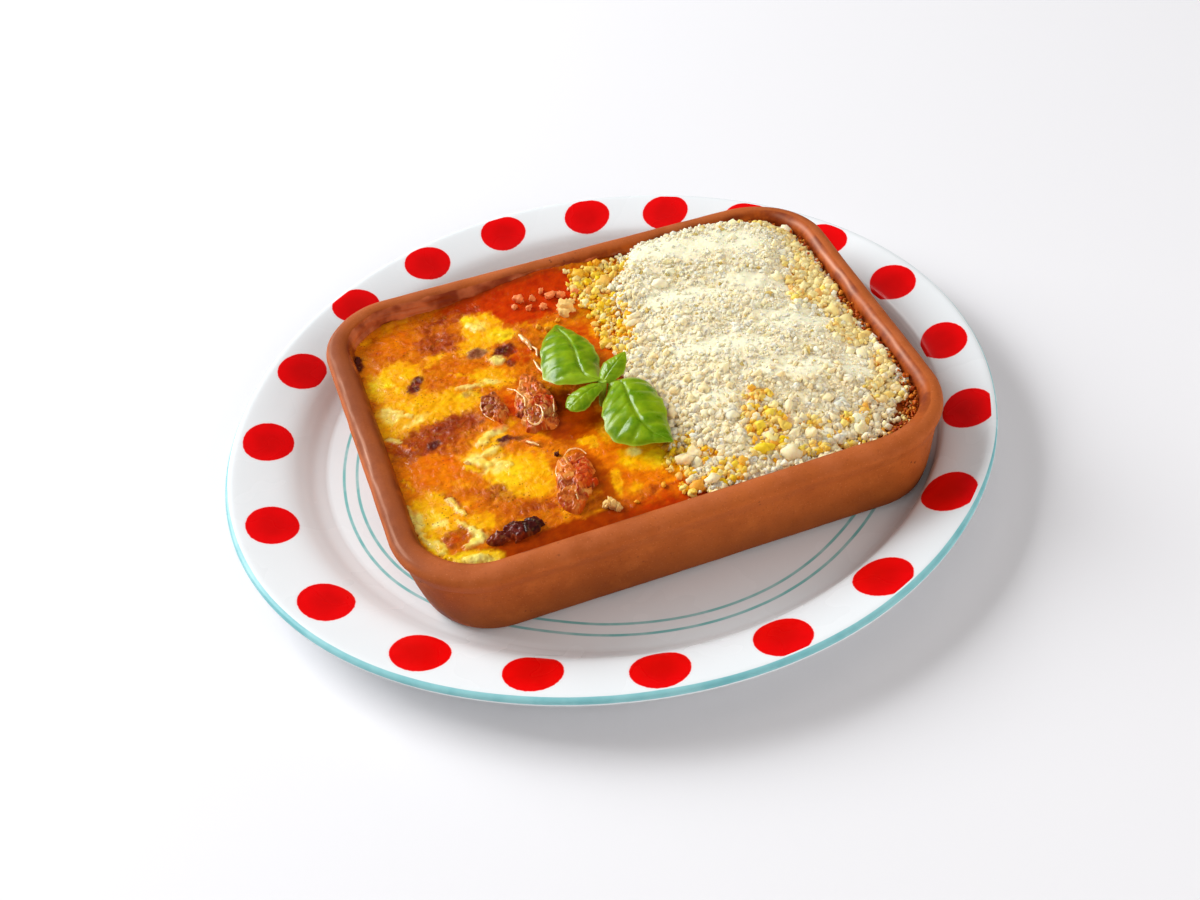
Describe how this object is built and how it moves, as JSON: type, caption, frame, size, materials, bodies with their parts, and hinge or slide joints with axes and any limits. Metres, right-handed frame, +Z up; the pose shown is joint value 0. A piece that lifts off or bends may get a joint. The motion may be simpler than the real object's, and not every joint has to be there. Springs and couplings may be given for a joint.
{
  "type": "plate of lasagna",
  "caption": "Baked lasagna with browned cheese, a heap of grated cheese and a basil sprig, served in a shallow clay dish on a round dotted dinner plate.",
  "frame": {"origin": "on the table, under the middle of the plate's rim", "axes": "+Z up out of the plate; X along the clay dish's long side, the grated cheese towards +X; Y along its short side, -Y towards the diner"},
  "size_m": [0.2854, 0.2852, 0.0408],
  "materials": {
    "glazed_plate": "gloss",
    "clay": "satin",
    "baked_cheese": "gloss",
    "grated_cheese": "matte",
    "meat": "satin",
    "char": "satin",
    "basil_leaf": "satin"
  },
  "bodies": {
    "root": {"plate": "glazed_plate", "clay_dish": "clay", "lasagna": "baked_cheese", "grated_cheese": "grated_cheese", "meat_chunk_1": "meat", "meat_chunk_2": "meat", "meat_chunk_3": "meat", "charred_chunk": "char", "basil_sprig": "basil_leaf"}
  },
  "joints": []
}
